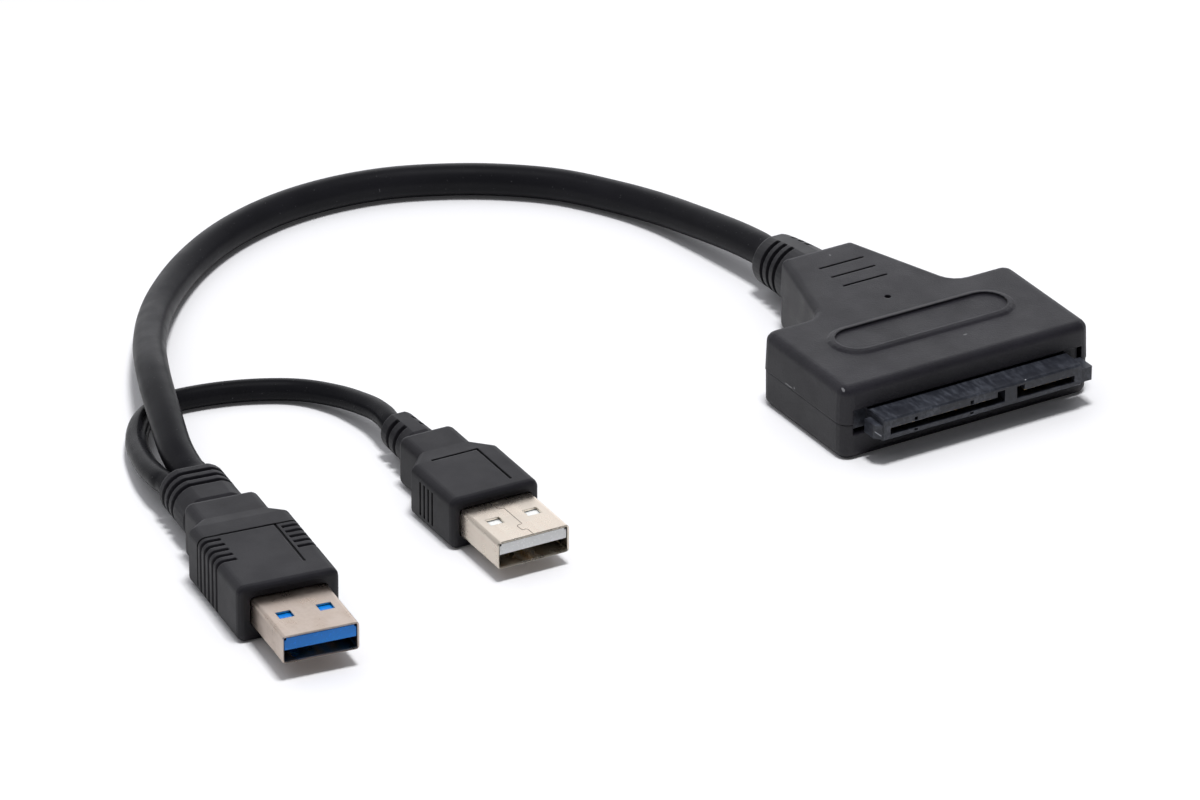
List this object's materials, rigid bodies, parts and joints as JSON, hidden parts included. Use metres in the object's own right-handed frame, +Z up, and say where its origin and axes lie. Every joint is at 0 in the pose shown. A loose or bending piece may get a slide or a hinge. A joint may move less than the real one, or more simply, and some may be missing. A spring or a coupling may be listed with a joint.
{
  "type": "usb to sata adapter",
  "caption": "Black adapter with a flat head that plugs onto a disk drive, a thick cord to a blue USB plug and a thin power cord from it to a white USB plug.",
  "frame": {"origin": "middle of the head's footprint, from receptacle nose to strain relief, on the surface that the adapter lies on", "axes": "-Y out of the drive receptacle, +Z up out of the head's marked top face, +X towards the signal slot"},
  "size_m": [0.1506, 0.133, 0.0126],
  "materials": {
    "black_plastic": "fine matte texture",
    "black_rubber": "satin",
    "slate_plastic": "satin, dark blue-grey",
    "nickel_plate": "warm nickel plate",
    "gold_plate": "gold plate",
    "blue_plastic": "satin",
    "white_plastic": "satin",
    "board_laminate": "solder mask",
    "red_insulation": "matte"
  },
  "bodies": {
    "root": {"head_upper_shell": "black_plastic", "head_lower_shell": "black_plastic", "usb3_overmould": "black_plastic", "usb2_overmould": "black_plastic", "bridge_chip": "black_plastic", "regulator_chip": "black_plastic", "sata_receptacle_body": "slate_plastic", "head_strain_relief": "black_rubber", "main_cord": "black_rubber", "power_cord": "black_rubber", "sata_power_contact_01": "gold_plate", "sata_power_contact_02": "gold_plate", "sata_power_contact_03": "gold_plate", "sata_power_contact_04": "gold_plate", "sata_power_contact_05": "gold_plate", "sata_power_contact_06": "gold_plate", "sata_power_contact_07": "gold_plate", "sata_power_contact_08": "gold_plate", "sata_power_contact_09": "gold_plate", "sata_power_contact_10": "gold_plate", "sata_power_contact_11": "gold_plate", "sata_power_contact_12": "gold_plate", "sata_power_contact_13": "gold_plate", "sata_power_contact_14": "gold_plate", "sata_power_contact_15": "gold_plate", "sata_signal_contact_01": "gold_plate", "sata_signal_contact_02": "gold_plate", "sata_signal_contact_03": "gold_plate", "sata_signal_contact_04": "gold_plate", "sata_signal_contact_05": "gold_plate", "sata_signal_contact_06": "gold_plate", "sata_signal_contact_07": "gold_plate", "circuit_board": "board_laminate", "crystal": "nickel_plate", "status_lamp": "white_plastic", "cord_core_1": "red_insulation", "cord_core_2": "white_plastic", "cord_core_3": "board_laminate", "cord_core_4": "black_plastic", "cord_core_5": "blue_plastic", "cord_core_6": "gold_plate", "usb3_shell": "nickel_plate", "usb3_contact_1": "gold_plate", "usb3_contact_2": "gold_plate", "usb3_contact_3": "gold_plate", "usb3_contact_4": "gold_plate", "usb2_shell": "nickel_plate", "usb2_contact_1": "gold_plate", "usb2_contact_2": "gold_plate", "usb2_contact_3": "gold_plate", "usb2_contact_4": "gold_plate", "usb3_insulator": "blue_plastic", "usb2_insulator": "white_plastic", "usb3_fast_contact_1": "gold_plate", "usb3_fast_contact_2": "gold_plate", "usb3_fast_contact_3": "gold_plate", "usb3_fast_contact_4": "gold_plate", "usb3_fast_contact_5": "gold_plate"}
  },
  "joints": []
}
